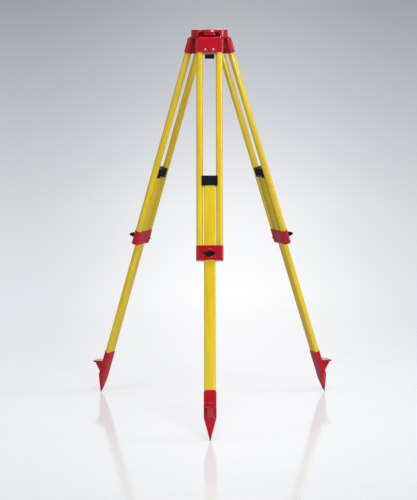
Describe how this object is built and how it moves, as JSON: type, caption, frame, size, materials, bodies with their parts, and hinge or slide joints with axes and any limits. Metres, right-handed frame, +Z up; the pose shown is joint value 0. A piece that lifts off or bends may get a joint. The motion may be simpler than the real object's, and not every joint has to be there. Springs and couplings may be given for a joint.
{
  "type": "surveyor tripod",
  "caption": "Heavy-duty surveyor tripod: round flat metal head with a fixing screw, hinged legs of paired wooden rods, sliding extensions with wing-screw clamps and pointed foot shoes.",
  "frame": {"origin": "centre of the flat head face where the instrument is seated, on the fixing screw's axis", "axes": "+Z up along the fixing screw; leg 1 points to -Y and the other two legs stand at 30 and 150 degrees from +X"},
  "size_m": [0.991, 0.8607, 1.5036],
  "materials": {
    "red_paint": "glossy enamel over cast aluminium",
    "yellow_wood": "gloss yellow lacquer over hardwood",
    "black_plastic": "moulded satin black",
    "zinc_steel": "zinc plated",
    "dark_steel": "dark oiled steel"
  },
  "bodies": {
    "head": {"head_plate": "red_paint", "arm_pivot_screw": "zinc_steel"},
    "arm": {"swing_arm": "dark_steel"},
    "carriage": {"carriage": "dark_steel"},
    "screw_ring": {"retaining_ring": "zinc_steel"},
    "screw": {"fixing_screw": "zinc_steel", "screw_knob": "black_plastic"},
    "leg_1": {"hinge_axle_1": "zinc_steel", "axle_nuts_1": "dark_steel", "leg_casting_1": "red_paint", "panel_screws_1": "zinc_steel", "rod_left_1": "yellow_wood", "rod_right_1": "yellow_wood", "clamp_casting_1": "red_paint", "rod_screws_1": "red_paint"},
    "lower_leg_1": {"slat_1": "yellow_wood", "slider_1": "black_plastic", "slider_screws_1": "zinc_steel", "shoe_1": "red_paint", "shoe_screws_1": "red_paint", "foot_point_1": "dark_steel"},
    "clamp_1": {"clamp_pad_1": "dark_steel"},
    "wing_screw_1": {"clamp_stud_1": "zinc_steel", "wing_knob_1": "black_plastic"},
    "leg_2": {"hinge_axle_2": "zinc_steel", "axle_nuts_2": "dark_steel", "leg_casting_2": "red_paint", "panel_screws_2": "zinc_steel", "rod_left_2": "yellow_wood", "rod_right_2": "yellow_wood", "clamp_casting_2": "red_paint", "rod_screws_2": "red_paint"},
    "lower_leg_2": {"slat_2": "yellow_wood", "slider_2": "black_plastic", "slider_screws_2": "zinc_steel", "shoe_2": "red_paint", "shoe_screws_2": "red_paint", "foot_point_2": "dark_steel"},
    "clamp_2": {"clamp_pad_2": "dark_steel"},
    "wing_screw_2": {"clamp_stud_2": "zinc_steel", "wing_knob_2": "black_plastic"},
    "leg_3": {"hinge_axle_3": "zinc_steel", "axle_nuts_3": "dark_steel", "leg_casting_3": "red_paint", "panel_screws_3": "zinc_steel", "rod_left_3": "yellow_wood", "rod_right_3": "yellow_wood", "clamp_casting_3": "red_paint", "rod_screws_3": "red_paint"},
    "lower_leg_3": {"slat_3": "yellow_wood", "slider_3": "black_plastic", "slider_screws_3": "zinc_steel", "shoe_3": "red_paint", "shoe_screws_3": "red_paint", "foot_point_3": "dark_steel"},
    "clamp_3": {"clamp_pad_3": "dark_steel"},
    "wing_screw_3": {"clamp_stud_3": "zinc_steel", "wing_knob_3": "black_plastic"}
  },
  "joints": [
    {"name": "arm_swing", "type": "hinge", "parent": "head", "child": "arm", "pos_m": [0, 0.046, -0.0465], "axis": [0, 0, 1], "range_deg": [-20, 20]},
    {"name": "carriage_slide", "type": "slide", "parent": "arm", "child": "carriage", "axis": [0, 1, 0], "range_m": [-0.013, 0.013]},
    {"name": "screw_lift", "type": "slide", "parent": "carriage", "child": "screw_ring", "axis": [0, 0, 1], "range_m": [0, 0.014]},
    {"name": "screw_turn", "type": "hinge", "parent": "screw_ring", "child": "screw", "pos_m": [0, 0, 0], "axis": [0, 0, 1], "continuous": true},
    {"name": "leg_hinge_1", "type": "hinge", "parent": "head", "child": "leg_1", "pos_m": [0, -0.0377, -0.0288], "axis": [-1, 0, 0], "range_deg": [-18.55, 15]},
    {"name": "leg_slide_1", "type": "slide", "parent": "leg_1", "child": "lower_leg_1", "axis": [0, -0.3181, -0.948], "range_m": [-0.483, 0.22]},
    {"name": "pad_slide_1", "type": "slide", "parent": "leg_1", "child": "clamp_1", "axis": [0, -0.948, 0.3181], "range_m": [0, 0.003]},
    {"name": "wing_turn_1", "type": "hinge", "parent": "clamp_1", "child": "wing_screw_1", "pos_m": [0, -0.35016, -0.83108], "axis": [0, -0.948, 0.3181], "range_deg": [0, 720]},
    {"name": "leg_hinge_2", "type": "hinge", "parent": "head", "child": "leg_2", "pos_m": [0.03265, 0.01885, -0.0288], "axis": [0.5, -0.866, 0], "range_deg": [-18.55, 15]},
    {"name": "leg_slide_2", "type": "slide", "parent": "leg_2", "child": "lower_leg_2", "axis": [0.2755, 0.1591, -0.948], "range_m": [-0.483, 0.22]},
    {"name": "pad_slide_2", "type": "slide", "parent": "leg_2", "child": "clamp_2", "axis": [0.821, 0.474, 0.3181], "range_m": [0, 0.003]},
    {"name": "wing_turn_2", "type": "hinge", "parent": "clamp_2", "child": "wing_screw_2", "pos_m": [0.30325, 0.17508, -0.83108], "axis": [0.821, 0.474, 0.3181], "range_deg": [0, 720]},
    {"name": "leg_hinge_3", "type": "hinge", "parent": "head", "child": "leg_3", "pos_m": [-0.03265, 0.01885, -0.0288], "axis": [0.5, 0.866, 0], "range_deg": [-18.55, 15]},
    {"name": "leg_slide_3", "type": "slide", "parent": "leg_3", "child": "lower_leg_3", "axis": [-0.2755, 0.1591, -0.948], "range_m": [-0.483, 0.22]},
    {"name": "pad_slide_3", "type": "slide", "parent": "leg_3", "child": "clamp_3", "axis": [-0.821, 0.474, 0.3181], "range_m": [0, 0.003]},
    {"name": "wing_turn_3", "type": "hinge", "parent": "clamp_3", "child": "wing_screw_3", "pos_m": [-0.30325, 0.17508, -0.83108], "axis": [-0.821, 0.474, 0.3181], "range_deg": [0, 720]}
  ],
  "couplings": [
    {"joint": "wing_turn_1", "follows": "pad_slide_1", "rad_per_m": 4188.8},
    {"joint": "wing_turn_2", "follows": "pad_slide_2", "rad_per_m": 4188.8},
    {"joint": "wing_turn_3", "follows": "pad_slide_3", "rad_per_m": 4188.8}
  ]
}
